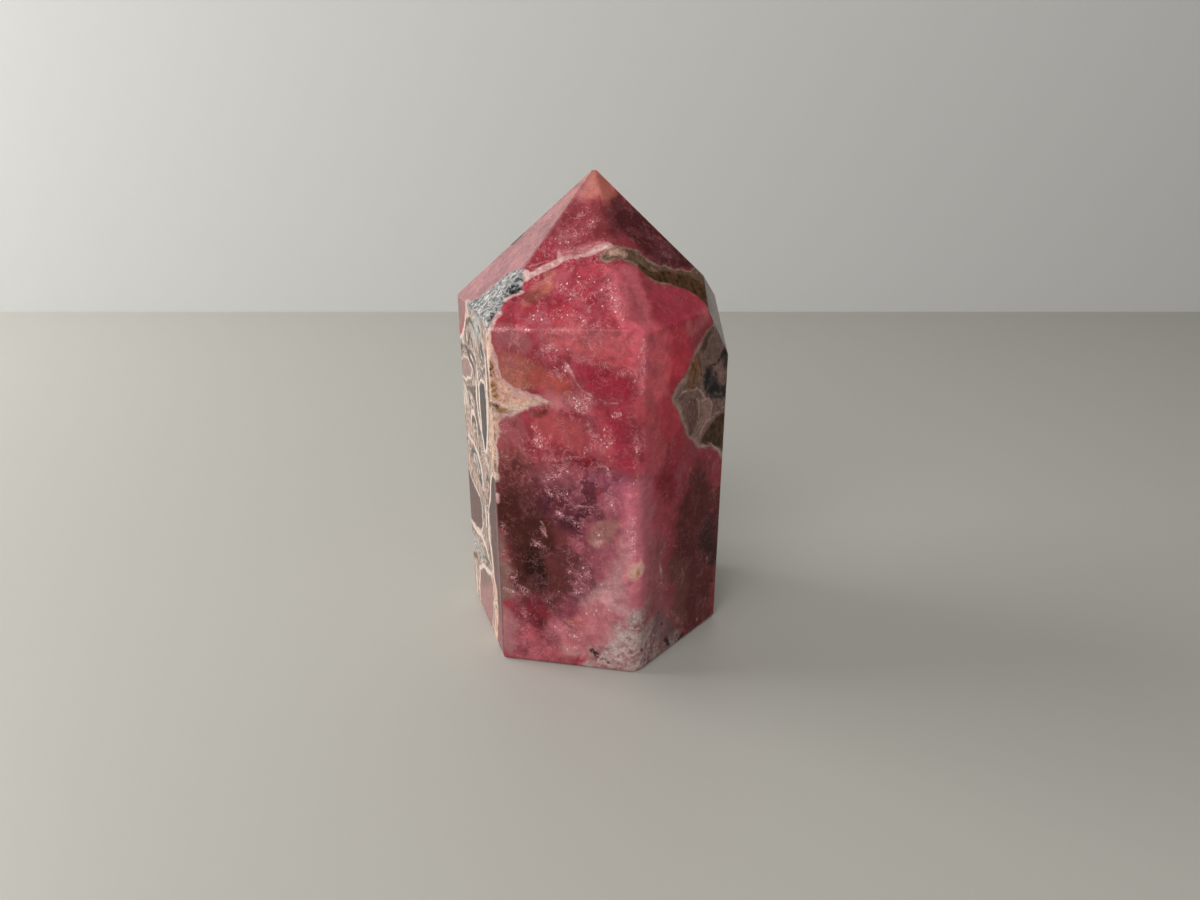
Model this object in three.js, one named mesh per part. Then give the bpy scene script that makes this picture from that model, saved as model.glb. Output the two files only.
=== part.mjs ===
// A polished tower of banded rhodochrosite: one natural stone, sawn flat under its foot, ground to a
// six-sided shaft with a six-faced point, and polished until every edge is slightly soft.
//
// Millimetres, +Z up. The origin is at the centre of the foot. The front face looks along -Y.
// Headings are degrees about +Z, counted from +X towards +Y.

import * as THREE from 'three';
import { ConvexGeometry } from 'three/addons/geometries/ConvexGeometry.js';
import { mergeVertices } from 'three/addons/utils/BufferGeometryUtils.js';

// Shaft: a regular hexagon, measured to its sharp corners.
const CORNER_RADIUS = 23.3;
const SIDES = 6;
const HALF_FLATS = CORNER_RADIUS * Math.cos(Math.PI / SIDES);
const FRONT_HEADING = -90;
const SIDE_STEP = 360 / SIDES;

// Point: the six tip faces meet at one apex, a little to the right of the middle.
const APEX = new THREE.Vector3(0.6, 0.1, 80.5);

// Each tip face was ground by hand, so its lower edge runs slightly out of level. These are the heights
// of that edge at its left and right corner, seen from outside, from the front face round to the right.
const SHOULDERS = [
  { left: 59.1, right: 60.1 },
  { left: 59.3, right: 59.9 },
  { left: 59.9, right: 59.7 },
  { left: 59.7, right: 59.7 },
  { left: 59.7, right: 59.3 },
  { left: 59.3, right: 60.3 },
];

// A small extra facet takes off the shoulder's right-hand corner. Its lowest point is on that corner's
// edge, and it leans in from the vertical.
const CORNER_FACET = { heading: -1, lean: 19.75, foot: new THREE.Vector3(CORNER_RADIUS, 0, 51) };

// The corner to the right of the front face is worn round; the other edges keep a fine soft line.
const WORN_CORNER = { heading: FRONT_HEADING + SIDE_STEP / 2, radius: 2.6, strips: 3 };
const EDGE_RADIUS = 0.8;

const STONE_COLOUR = 0xa34a5b;
const STONE_ROUGHNESS = 0.28;

// A unit vector at a heading, leaning up from the horizontal.
function direction(heading, lean = 0) {
  const turn = THREE.MathUtils.degToRad(heading);
  const rise = THREE.MathUtils.degToRad(lean);
  return new THREE.Vector3(
    Math.cos(rise) * Math.cos(turn),
    Math.cos(rise) * Math.sin(turn),
    Math.sin(rise),
  );
}

// A sharp corner of the shaft, at a height.
function corner(heading, height) {
  return direction(heading).multiplyScalar(CORNER_RADIUS).setZ(height);
}

// A plane whose normal points out of the stone.
function facing(normal, point) {
  return new THREE.Plane().setFromNormalAndCoplanarPoint(normal, point);
}

function shaftPlanes() {
  return SHOULDERS.map((_, side) => {
    const outward = direction(FRONT_HEADING + side * SIDE_STEP);
    return facing(outward, outward.clone().multiplyScalar(HALF_FLATS));
  });
}

function tipPlanes() {
  return SHOULDERS.map(({ left, right }, side) => {
    const heading = FRONT_HEADING + side * SIDE_STEP;
    const leftCorner = corner(heading - SIDE_STEP / 2, left);
    const rightCorner = corner(heading + SIDE_STEP / 2, right);
    return new THREE.Plane().setFromCoplanarPoints(leftCorner, rightCorner, APEX);
  });
}

// Narrow upright planes that wrap the worn corner round a cylinder inside it.
function wornCornerPlanes() {
  const { heading, radius, strips } = WORN_CORNER;
  const axisDistance = CORNER_RADIUS - radius / Math.cos(Math.PI / SIDES);
  const axis = direction(heading).multiplyScalar(axisDistance);
  return Array.from({ length: strips }, (_, strip) => {
    const step = SIDE_STEP / (strips + 1);
    const outward = direction(heading - SIDE_STEP / 2 + (strip + 1) * step);
    return facing(outward, axis.clone().addScaledVector(outward, radius));
  });
}

function stonePlanes() {
  return [
    facing(new THREE.Vector3(0, 0, -1), new THREE.Vector3()),
    facing(direction(CORNER_FACET.heading, CORNER_FACET.lean), CORNER_FACET.foot),
    ...shaftPlanes(),
    ...tipPlanes(),
    ...wornCornerPlanes(),
  ];
}

// The point where three planes meet, or null where two of them are nearly parallel.
function meetingPoint(a, b, c) {
  const bc = b.normal.clone().cross(c.normal);
  const volume = a.normal.dot(bc);
  if (Math.abs(volume) < 1e-6) return null;
  const ca = c.normal.clone().cross(a.normal);
  const ab = a.normal.clone().cross(b.normal);
  return bc
    .multiplyScalar(-a.constant)
    .addScaledVector(ca, -b.constant)
    .addScaledVector(ab, -c.constant)
    .divideScalar(volume);
}

// The corners of the convex solid that lies behind every plane.
function solidCorners(planes) {
  const tolerance = 1e-4;
  const corners = [];
  for (let i = 0; i < planes.length; i += 1) {
    for (let j = i + 1; j < planes.length; j += 1) {
      for (let k = j + 1; k < planes.length; k += 1) {
        const point = meetingPoint(planes[i], planes[j], planes[k]);
        const inside = point && planes.every((plane) => plane.distanceToPoint(point) < tolerance);
        if (inside) corners.push(point);
      }
    }
  }
  return corners;
}

// Rolls a ball of the edge radius round inside the planes: a small sphere is set at each corner of the
// solid shrunk by that radius, and the skin drawn tight over the spheres is the stone.
function softenedSolid(planes, radius) {
  const ball = new THREE.IcosahedronGeometry(radius, 2).getAttribute('position');
  const ballPoints = Array.from({ length: ball.count }, (_, i) =>
    new THREE.Vector3().fromBufferAttribute(ball, i),
  );
  const shrunk = planes.map((plane) => new THREE.Plane(plane.normal, plane.constant + radius));
  const skin = solidCorners(shrunk).flatMap((centre) => {
    const touching = planes.filter((_, i) => Math.abs(shrunk[i].distanceToPoint(centre)) < 1e-3);
    const flats = touching.map((plane) => centre.clone().addScaledVector(plane.normal, radius));
    return [...ballPoints.map((point) => point.clone().add(centre)), ...flats];
  });
  return new ConvexGeometry(skin);
}

function closedMesh(geometry) {
  const solid = geometry.clone();
  solid.deleteAttribute('normal');
  solid.deleteAttribute('uv');
  const merged = mergeVertices(solid, 1e-4);
  merged.computeVertexNormals();
  return merged;
}

const stone = new THREE.Mesh(
  closedMesh(softenedSolid(stonePlanes(), EDGE_RADIUS)),
  new THREE.MeshStandardMaterial({
    color: STONE_COLOUR,
    roughness: STONE_ROUGHNESS,
    metalness: 0,
    flatShading: true,
  }),
);
stone.name = 'stone';

const tower = new THREE.Group();
tower.add(stone);

export default tower;
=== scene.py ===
import math

import bmesh
import bpy
import numpy as np
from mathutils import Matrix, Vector, noise


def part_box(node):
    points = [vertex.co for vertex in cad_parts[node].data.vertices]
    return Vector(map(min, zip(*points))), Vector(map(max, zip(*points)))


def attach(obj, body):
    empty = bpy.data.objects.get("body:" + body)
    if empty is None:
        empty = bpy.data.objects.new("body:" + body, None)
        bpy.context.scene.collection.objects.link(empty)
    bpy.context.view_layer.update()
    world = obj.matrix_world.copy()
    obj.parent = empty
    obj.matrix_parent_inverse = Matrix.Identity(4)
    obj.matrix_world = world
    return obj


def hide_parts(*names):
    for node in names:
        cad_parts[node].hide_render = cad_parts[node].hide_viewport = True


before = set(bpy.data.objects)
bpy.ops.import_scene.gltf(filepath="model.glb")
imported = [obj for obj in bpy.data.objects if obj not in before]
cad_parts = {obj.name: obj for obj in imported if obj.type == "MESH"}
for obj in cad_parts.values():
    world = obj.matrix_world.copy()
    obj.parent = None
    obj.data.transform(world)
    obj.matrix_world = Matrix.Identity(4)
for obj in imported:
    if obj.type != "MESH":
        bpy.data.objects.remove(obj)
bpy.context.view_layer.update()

# The stone: one piece of rhodochrosite, sawn, ground to six flat sides and a six-faced point on a lap
# wheel, then polished. It stands on its sawn foot, and nothing fixes it.
MM = 0.001
SIDES = 6
_, stone_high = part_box("stone")
side_step = 360 / SIDES
half_flats = stone_high.y / MM
corner_radius = half_flats / math.cos(math.pi / SIDES)
front_heading = -90
apex = Vector((0.6, 0.1, 80.5))
tip_height = stone_high.z / MM
shoulders = ((59.1, 60.1), (59.3, 59.9), (59.9, 59.7), (59.7, 59.7), (59.7, 59.3), (59.3, 60.3))
corner_facet_foot = 51
corner_facet_lean = 19.75
corner_facet_heading = -1
sharp_turn = math.radians(12)
smooth_turn = math.radians(30)


def heading(degrees, lean=0):
    """A unit vector at a heading, leaning up from the level."""
    turn, rise = math.radians(degrees), math.radians(lean)
    level = math.cos(rise)
    return Vector((level * math.cos(turn), level * math.sin(turn), math.sin(rise)))


def shaft_corner(degrees, height):
    """A point on the corner of the shaft at a heading and a height."""
    point = heading(degrees) * corner_radius
    point.z = height
    return point


def tip_corners(side):
    """The two lower corners of a tip face, as they were ground, slightly out of level."""
    left_height, right_height = shoulders[side]
    facing = front_heading + side * side_step
    left = shaft_corner(facing - side_step / 2, left_height)
    right = shaft_corner(facing + side_step / 2, right_height)
    return left, right


def grind(point, outward):
    """Takes away what lies outside a plane, and leaves a flat there."""
    bpy.ops.mesh.select_all(action="SELECT")
    bpy.ops.mesh.bisect(plane_co=point * MM, plane_no=outward, use_fill=True, clear_outer=True)


def pick_edges(wanted):
    """Selects the sharp edges whose middle and run wanted() accepts."""
    bpy.ops.mesh.select_all(action="DESELECT")
    mesh = bmesh.from_edit_mesh(stone.data)
    for edge in mesh.edges:
        middle = (edge.verts[0].co + edge.verts[1].co) / (2 * MM)
        run = (edge.verts[1].co - edge.verts[0].co).normalized()
        if edge.calc_face_angle(0) > sharp_turn and wanted(middle, run):
            edge.select_set(True)
    bmesh.update_edit_mesh(stone.data)


def soften(width, rounds):
    """Rounds the selected edges over to a width, in so many narrow facets."""
    bpy.ops.mesh.bevel(offset_type="OFFSET", offset=width * MM, segments=rounds, affect="EDGES")


bpy.ops.object.select_all(action="DESELECT")
bpy.ops.mesh.primitive_cylinder_add(
    vertices=SIDES,
    radius=corner_radius * MM,
    depth=apex.z * MM,
    location=(0, 0, apex.z * MM / 2),
    rotation=(0, 0, math.radians(side_step / 2)),
)
stone = bpy.context.object
stone.name = "polished_stone"
bpy.ops.object.transform_apply(location=True, rotation=True, scale=True)
bpy.ops.object.mode_set(mode="EDIT")
bpy.ops.mesh.select_mode(type="EDGE")
for side in range(SIDES):
    left, right = tip_corners(side)
    grind(left, (right - left).cross(apex - left).normalized())
grind(shaft_corner(0, corner_facet_foot), heading(corner_facet_heading, corner_facet_lean))
grind(Vector((0, 0, tip_height)), heading(0, 90))

# The corner right of the front face is worn round, and so is the ridge above it. The foot's edge is
# eased, and all the other edges keep the narrow round that polishing leaves.
worn_heading = front_heading + side_step / 2
worn_width, worn_rounds = 1.4, 8
foot_width, foot_rounds = 0.7, 4
ridge_width, ridge_rounds = 0.2, 3
foot_edge_top = 0.8
same_way = 0.995
upward = 0.5
hair = 0.01


def on_worn_corner(middle, run):
    level = Vector((middle.x, middle.y, 0))
    if level.length < 1:
        return False
    return level.normalized().dot(heading(worn_heading)) > same_way and abs(run.z) > upward


pick_edges(on_worn_corner)
soften(worn_width, worn_rounds)
pick_edges(lambda middle, run: middle.z < hair)
soften(foot_width, foot_rounds)
pick_edges(lambda middle, run: middle.z > foot_edge_top)
soften(ridge_width, ridge_rounds)

# The skin is sliced level by level and its long edges are halved, so that its small facets are even
# and can carry the markings.
slice_height = 0.42
longest_edge = 0.62
most_sides = 4
for level in range(1, int(tip_height / slice_height)):
    bpy.ops.mesh.select_all(action="SELECT")
    bpy.ops.mesh.bisect(plane_co=(0, 0, level * slice_height * MM), plane_no=(0, 0, 1))
while True:
    bpy.ops.mesh.select_all(action="DESELECT")
    mesh = bmesh.from_edit_mesh(stone.data)
    long_edges = [edge for edge in mesh.edges if edge.calc_length() > longest_edge * MM]
    if not long_edges:
        break
    for edge in long_edges:
        edge.select_set(True)
    bmesh.update_edit_mesh(stone.data)
    bpy.ops.mesh.subdivide(number_cuts=1)
    bpy.ops.mesh.select_all(action="DESELECT")
    mesh = bmesh.from_edit_mesh(stone.data)
    for face in mesh.faces:
        face.select_set(len(face.verts) > most_sides)
    bmesh.update_edit_mesh(stone.data)
    bpy.ops.mesh.quads_convert_to_tris(quad_method="BEAUTY", ngon_method="BEAUTY")
bpy.ops.object.mode_set(mode="OBJECT")
bpy.ops.object.shade_smooth_by_angle(angle=smooth_turn)

# The markings. Each is placed on a face of the stone in millimetres: how far across it from its middle,
# to the right as seen from outside, and how far up it from its lower edge.
FACES = ("front", "right", "far_right", "back", "far_left", "left")
quarter = 90
straight_up = Vector((0, 0, 1))


def face_places():
    """For each face the middle of its lower edge, the ways across and up it, and the way out of it."""
    places = {}
    for side, name in enumerate(FACES):
        facing = front_heading + side * side_step
        across, out = heading(facing + quarter), heading(facing)
        places[name] = (out * half_flats, across, straight_up, out)
        left, right = tip_corners(side)
        out = (right - left).cross(apex - left).normalized()
        across = (right - left).normalized()
        places[name + "_tip"] = ((left + right) / 2, across, out.cross(across), out)
    return {name: [np.array(vector) for vector in place] for name, place in places.items()}


def wander(points, size):
    """A smooth random shift at each point, in lumps of a size."""
    return np.array([noise.noise_vector(Vector(point / size)) for point in points])


# Seeded, because otherwise the ruffled edges would differ from one run to the next.
ruffle_seed = 1
noise.seed_set(ruffle_seed)
places = face_places()
skin = np.empty(len(stone.data.vertices) * 3)
stone.data.vertices.foreach_get("co", skin)
skin = skin.reshape(-1, 3) / MM
coarse_lump, fine_lump = 2.6, 0.8
coarse_shift, fine_shift = 0.4, 0.18
coarse_ruffle, fine_ruffle = 0.9, 0.6
elsewhere = 40
far_off = 1000.0
tiny = 1e-9
soaking_steepness = 4
corner_depth, corner_steepness = 0.1, 20
coarse = wander(skin, coarse_lump)
fine = wander(skin + elsewhere, fine_lump)
wavering = skin + coarse * coarse_shift + fine * fine_shift
ruffle = coarse[:, 0] * coarse_ruffle + fine[:, 0] * fine_ruffle


def below(face, depth, steepness):
    """How much deeper under a face the skin is than a depth, made steeper."""
    middle, _, _, out = places[face]
    return steepness * (np.abs((skin - middle) @ out) - depth)


def vein(face, *stops):
    """How far the skin is from a vein, given as (across, up, half width) at each stop; negative inside."""
    middle, across, up, out = places[face]
    flowing = wavering - np.outer((wavering - skin) @ out, out)
    near = np.full(len(skin), far_off)
    points = [middle + across * u + up * v for u, v, _ in stops]
    for start, end, first, last in zip(points, points[1:] or points, stops, stops[1:] or stops):
        run = end - start
        along = np.clip((flowing - start) @ run / max(run @ run, tiny), 0, 1)
        gap = np.linalg.norm(flowing - start - along[:, None] * run, axis=1)
        near = np.minimum(near, gap - (first[2] + (last[2] - first[2]) * along))
    return near


def patch(face, *outline, depth=2.0):
    """How far the skin is from an outlined patch that soaks in to a depth; negative inside."""
    middle, across, up, _ = places[face]
    local = wavering - middle
    flat = np.stack([local @ across, local @ up], axis=1)
    near = np.full(len(skin), far_off)
    inside = np.zeros(len(skin), bool)
    for start, end in zip(outline, outline[1:] + outline[:1]):
        start, end = np.array(start, float), np.array(end, float)
        run = end - start
        reach = flat - start
        along = np.clip(reach @ run / (run @ run), 0, 1)
        near = np.minimum(near, np.linalg.norm(reach - along[:, None] * run, axis=1))
        crosses = (start[1] > flat[:, 1]) != (end[1] > flat[:, 1])
        meets = start[0] + run[0] * (flat[:, 1] - start[1]) / (run[1] if run[1] else tiny)
        inside ^= crosses & (flat[:, 0] < meets)
    edge = np.where(inside, -near, near)
    return np.maximum(edge, below(face, depth, soaking_steepness))


def only_on(face, mark):
    """Keeps a mark off the neighbouring faces."""
    return np.maximum(mark, below(face, corner_depth, corner_steepness))


def together(*marks):
    return np.minimum.reduce(marks)


def drawn(*veins):
    """Many veins as one mark, each given as its face and its stops."""
    return together(*[vein(face, *stops) for face, *stops in veins])


def linear(red, green, blue):
    """A colour given as it looks, 0 to 255, as the light it returns."""
    shares = np.array((red, green, blue)) / 255
    return np.where(shares > 0.04045, ((shares + 0.055) / 1.055) ** 2.4, shares / 12.92)


def stain(layer, tint, fade, mark, strength=0.9):
    """Tints a layer inside a mark, and fades out around it over a distance, with a ruffled edge."""
    share = np.clip(1 - mark / fade - ruffle / 2, 0, 1)
    share = (share * share * (3 - 2 * share) * strength)[:, None]
    layer[:] = layer * (1 - share) + linear(*tint) * share


# The crystal: crimson, clouded with smoky brown, mauve, salmon and orange.
crystal = np.tile(linear(154, 56, 67), (len(skin), 1))
CLOUDS = (
    # tip and upper front
    ((148, 46, 58), 2.5, "front_tip", (-3, 4, 2.4), (3, 5, 2.4)),
    ((136, 60, 66), 2.0, "front_tip", (1, 22, 2), (0, 18.6, 4), (4, 16.6, 2)),
    ((104, 42, 48), 1.4, "front_tip", (3.2, 21.2, 0.6), (5.4, 18.6, 1)),
    ((156, 84, 78), 0.9, "front_tip", (-6.4, 4.8, 0.3), (-4.6, 6.8, 0.9), (-3.4, 9, 0.4)),
    ((174, 98, 84), 0.5, "front_tip", (-3.6, 6.4, 0.1), (-3.2, 9.2, 0.3)),
    ((164, 100, 104), 0.5, "front_tip", (-1.4, 13, 0.3), (1.6, 13.9, 0.5), (4.2, 14.9, 0.4)),
    ((186, 82, 88), 0.5, "front", (6.6, 57.2, 0.4), (8.2, 58, 0.5)),
    ((178, 74, 82), 1.8, "front", (2.6, 56.2, 0.9), (6, 56.2, 0.9), (9.6, 54.6, 0.8)),
    ((192, 92, 98), 2.4, "front", (-2.4, 58.4, 0.8), (3, 58.2, 1), (7, 58.4, 0.8)),
    ((182, 100, 104), 1.8, "front", (-1.4, 48.6, 0.8), (2.4, 48.6, 1)),
    ((152, 36, 56), 1.0, "front", (2, 54.4, 0.4), (4.8, 52.3, 1.6), (8.2, 51, 1.7), (8.5, 48.5, 0.8)),
    ((148, 40, 58), 1.2, "front", (7.4, 47.4, 0.6), (9, 44, 1.1), (9.4, 38.6, 0.9)),
    ((156, 86, 72), 2.2, "front", (-9.2, 54, 1), (-7.6, 52, 1.2), (-5, 52.2, 0.8)),
    ((160, 92, 96), 1.6, "front", (-9.6, 58.2, 0.6), (-6.4, 57.6, 0.6)),
    ((160, 94, 74), 0.8, "front", (-9.2, 52, 0.5), (-7.4, 51, 0.5), (-5.6, 50.6, 0.3)),
    ((166, 72, 62), 1.4, "front", (-4.2, 51.8, 0.7), (-0.6, 51, 0.8)),
    ((172, 76, 80), 1.2, "front", (-3.6, 45, 1), (0.4, 43.6, 1.8), (1.4, 41.6, 0.8)),
    ((118, 48, 38), 0.4, "front", (-5.6, 46.4, 0.2), (-4.3, 46, 0.5), (-3.2, 46.7, 0.3)),
    ((164, 86, 92), 1.8, "front", (-8.6, 43, 1.4), (-8.6, 38.8, 1.6)),
    ((150, 64, 74), 1.0, "front", (4.2, 45, 0.8), (4.5, 40.6, 1)),
    ((118, 44, 50), 1.6, "front", (0.6, 37.6, 1), (3, 37.8, 1), (6, 37.4, 0.6)),
    ((110, 20, 36), 0.8, "front", (0.4, 36.4, 0.7), (2.2, 37.9, 0.8), (4, 38.8, 0.4)),
    ((150, 54, 68), 1.8, "front", (11.6, 58, 0.4), (11.6, 36, 0.4)),
    # painted reflection: a paler mauve strip down the lower worn corner, where the light catches its round
    ((176, 98, 110), 1.6, "front", (11.8, 31, 0.8), (11.8, 14, 1)),
    # smoky middle
    ((116, 54, 50), 2.2, "front", (-10, 38.2, 1.2), (-7.6, 37, 1.4), (-4.4, 36.4, 0.8)),
    ((132, 66, 78), 4.0, "front", (-2, 30, 5), (0, 24, 9), (0, 16, 9)),
    ((158, 82, 96), 2.6, "front", (8.8, 32, 2), (9, 26, 2.6), (8.6, 18, 3), (9.4, 12, 2)),
    ((132, 64, 82), 1.6, "front", (4.6, 35.6, 1), (8.6, 35.4, 1.4)),
    ((120, 66, 78), 2.4, "front", (-0.4, 20, 2), (2.8, 16, 2)),
    ((92, 42, 40), 3.0, "front", (-9.5, 32.4, 3.2), (-6.4, 29, 4.4), (-5, 22, 5), (-5, 15.6, 3.8)),
    ((90, 36, 50), 1.8, "front", (-2.2, 31.4, 2.2), (0.6, 28.6, 2), (2.6, 32.6, 1.8), (3.8, 30.6, 1.2)),
    ((66, 26, 18), 2.4, "front", (-8.8, 29.6, 2), (-7.2, 27, 2.6), (-6, 22.5, 2.4), (-6, 16.6, 1.8)),
    ((38, 11, 6), 1.2, "front", (-5.6, 22, 0.5), (-5.6, 19, 1.3), (-4.8, 16.6, 0.6)),
    ((66, 26, 34), 0.9, "front", (-1.4, 28.2, 0.3), (1, 27.8, 0.5), (2.6, 28.8, 0.3)),
    ((120, 80, 80), 0.8, "front", (-11.4, 24, 0.3), (-11.2, 17, 0.5), (-10.4, 13.4, 0.4)),
    # painted highlight: a column of pale glints on the worn corner
    ((222, 172, 182), 0.8, "front", (10.6, 29.4, 0.2), (10.4, 26, 0.5), (10.7, 22.8, 0.3)),
    ((156, 104, 98), 0.8, "front", (4.3, 25.2, 0.7), (5.6, 27, 1.1), (7.6, 28.2, 0.5), (6.6, 25.8, 0.8)),
    ((184, 132, 122), 0.9, "front", (4.8, 24.6, 0.3), (5.4, 24.8, 0.2)),
    ((190, 138, 140), 3.0, "front", (5.4, 12.6, 1.2), (8.6, 15, 1.6), (10.4, 20, 1), (11, 25, 0.6)),
    ((128, 96, 90), 1.6, "front", (-11.4, 22, 0.6), (-11.2, 17, 0.8), (-11, 12.6, 0.6)),
    # foot of the front
    ((112, 32, 42), 1.4, "front", (-5.8, 12, 1), (-5, 8.8, 1.1)),
    ((158, 78, 88), 2.0, "front", (-9.6, 6, 1.6), (-7, 2.6, 2.4), (-2, 2, 1.4)),
    ((172, 112, 116), 2.0, "front", (-11, 9, 0.6), (-11, 3, 0.8)),
    ((176, 124, 124), 2.2, "front", (0.8, 3.4, 1), (3.2, 5, 0.8), (6, 8.6, 1.2)),
    ((174, 98, 106), 2.0, "front", (-2, 7, 1), (2, 6, 1.8), (5, 11, 1.4)),
    ((160, 84, 76), 0.7, "front", (0.2, 9.2, 0.4), (2.2, 8.8, 0.5)),
    # right of the worn corner
    ((172, 72, 82), 3.0, "right", (-7.4, 34, 1), (-7, 26, 1.2), (-7.2, 16, 1.2)),
    ((204, 84, 100), 1.8, "right", (-8.8, 43.4, 1), (-8.6, 38, 1.4)),
    # painted reflection: the pale pink strip down the worn corner, on its right side
    ((196, 106, 120), 2.4, "right", (-11, 34, 1.2), (-10.4, 26, 1.6), (-10, 14, 1.8)),
    ((206, 58, 74), 2.4, "right", (-4, 58.4, 1.4), (-2.4, 54, 2.2), (-4.2, 51, 1.3)),
    ((226, 104, 118), 2.0, "right", (-11, 59.4, 1), (-10.6, 55, 0.9), (-9.4, 50, 0.6)),
    ((228, 98, 108), 2.2, "right", (-7.4, 59, 1.4), (-7, 53, 1.2), (-6.4, 47, 0.8)),
    ((196, 84, 92), 2.2, "right", (-10.6, 48.6, 0.8), (-7, 44, 1), (-7, 39, 0.8)),
    ((206, 104, 112), 1.4, "right", (0.8, 58.8, 1), (4, 59.2, 0.9)),
    ((196, 62, 78), 1.6, "right", (-5.6, 46.4, 1.4), (-4, 43, 1.6)),
    ((168, 40, 58), 1.3, "right", (-1.9, 40, 0.8), (-3, 37, 1.1)),
    ((130, 20, 34), 2.4, "right", (-5.4, 34, 0.8), (-3.6, 31.6, 1)),
    ((82, 24, 22), 3.6, "right", (5, 30.6, 1.4), (4.4, 26, 3.6), (3.6, 20, 4), (5, 10, 3.6), (6, 4, 3)),
    ((52, 10, 14), 2.4, "right", (10.4, 21, 1.2), (8.4, 18.6, 1.4), (10.6, 13, 1)),
    ((152, 84, 90), 2.8, "right", (-6.6, 22, 0.8), (-6.4, 13, 1.6), (-4.6, 8, 1)),
    ((112, 60, 56), 2.0, "right", (-2.2, 17, 0.8), (0.6, 14, 1.2), (0, 8, 1.2), (0.6, 4, 1)),
    ((118, 88, 90), 2.2, "right", (-6, 7.6, 0.8), (-4, 4.6, 1.4), (-1.4, 2, 1)),
    ((66, 12, 15), 2.2, "right_tip", (1, 22, 0.8), (1.5, 18, 2.8), (3.6, 13.4, 3.4), (7.4, 10.8, 2.2)),
    ((172, 54, 72), 2.4, "right_tip", (-3.4, 3, 2.4), (2, 2.4, 1.8)),
    ((214, 102, 114), 2.2, "right_tip", (-10.4, 3, 1.2), (-8.4, 6, 1), (-6.6, 9.6, 0.8)),
    ((176, 82, 92), 1.8, "front_tip", (9.6, 3, 1), (6.6, 9.6, 0.8)),
    # far sides
    ((186, 88, 98), 3.0, "far_right", (-6, 22, 2), (3, 16, 2.6), (9, 20, 2)),
    ((132, 66, 78), 3.4, "far_right", (2, 30, 2.6), (-2, 37, 1.8)),
    ((166, 92, 72), 1.6, "far_right", (7, 51, 1), (9, 47, 0.8)),
    ((90, 26, 30), 3.0, "far_right", (-11, 24, 1.4), (-6, 10, 2.4), (0, 4, 2)),
    ((134, 20, 42), 2.2, "far_right", (0, 50, 1.4), (4, 44, 2), (9, 36, 2.4)),
    ((196, 108, 112), 2.6, "back", (-8, 40, 2), (-2, 46, 2.6), (6, 50, 2)),
    ((134, 20, 42), 1.8, "back", (-7, 54, 1.8), (-2, 52, 1)),
    ((166, 96, 74), 1.4, "back", (6, 44.6, 1.4), (3, 48, 0.8)),
    ((112, 50, 54), 3.4, "back", (-6, 28, 2), (0, 24, 3.4), (5, 28, 1.6)),
    ((66, 26, 20), 2.6, "back", (-1, 27, 1), (-3, 21, 1.8), (0, 12, 2), (5, 8, 1.2)),
    ((166, 92, 104), 2.8, "back", (8, 28, 1.4), (8.6, 20, 2)),
    ((184, 106, 112), 2.6, "back", (-9, 8, 2), (9, 14, 1.8)),
    ((172, 62, 78), 2.6, "far_left", (-7, 52, 3), (2, 56, 2)),
    ((188, 110, 118), 2.6, "far_left", (-2.4, 36, 1.4), (-9, 45, 1.6)),
    ((98, 44, 44), 2.8, "far_left", (-9, 28, 1.8), (-5, 32, 1.2)),
    ((188, 104, 110), 3.0, "back_tip", (-2, 8, 3), (2, 18, 2)),
    ((140, 44, 58), 2.6, "far_left_tip", (2, 6, 2.4), (-2, 14, 2)),
    ((168, 66, 78), 3.0, "far_right_tip", (0, 14, 2.4), (2, 20, 2)),
)
for tint, fade, face, *stops in CLOUDS:
    stain(crystal, tint, fade, vein(face, *stops))
for tint, fade, face, *stops in (
    ((50, 22, 20), 1.6, "left", (10.6, 33.6, 1), (8.4, 25, 2.2), (10, 17, 2.4), (10.6, 9, 1.6)),
    ((108, 72, 74), 1.0, "left", (11.7, 33, 0.3), (11.5, 20, 0.5), (11.5, 6, 0.5)),
    ((112, 56, 60), 1.2, "left", (10.4, 5, 1), (9.8, 0, 1.2)),
    ((134, 86, 88), 1.6, "left", (-11, 57, 2.4), (-7, 59.6, 1.2)),
    ((198, 110, 94), 2.6, "right_tip", (0.6, 27.6, 2), (-3.2, 25.2, 1.4), (-0.4, 25.4, 1)),
    ((200, 126, 112), 2.2, "front_tip", (1.2, 29.4, 2), (0.6, 26.2, 1.6), (2, 26, 1.2)),
):
    stain(crystal, tint, fade, only_on(face, vein(face, *stops)))
stain(crystal, (112, 46, 48), 1.8, vein("front_tip", (4.4, 19.4, 0.6), (4, 16.4, 0.6)))
lit_facet = patch(
    "front", (4.6, 56), (6.4, 55.4), (7.8, 56.6), (9, 58.4), (8.4, 59.4), (6.4, 58.6), (5.4, 57.2),
)
stain(crystal, (198, 92, 98), 0.3, lit_facet, 0.5)
# The left tip face is tinted paler over its whole area, up to its ridges: partly the stone's own colour,
# partly painted sheen of the window light. A warmer patch sits near its top.
left_tip_tint_and_sheen = patch("left_tip", (-13, -1), (13, -1), (1, 33), depth=0.2)
stain(crystal, (148, 103, 105), 0.25, left_tip_tint_and_sheen)
stain(
    crystal, (160, 104, 100), 2.4,
    np.maximum(left_tip_tint_and_sheen, vein("left_tip", (1.5, 28, 1), (1.5, 23, 0.8))),
)

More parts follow.
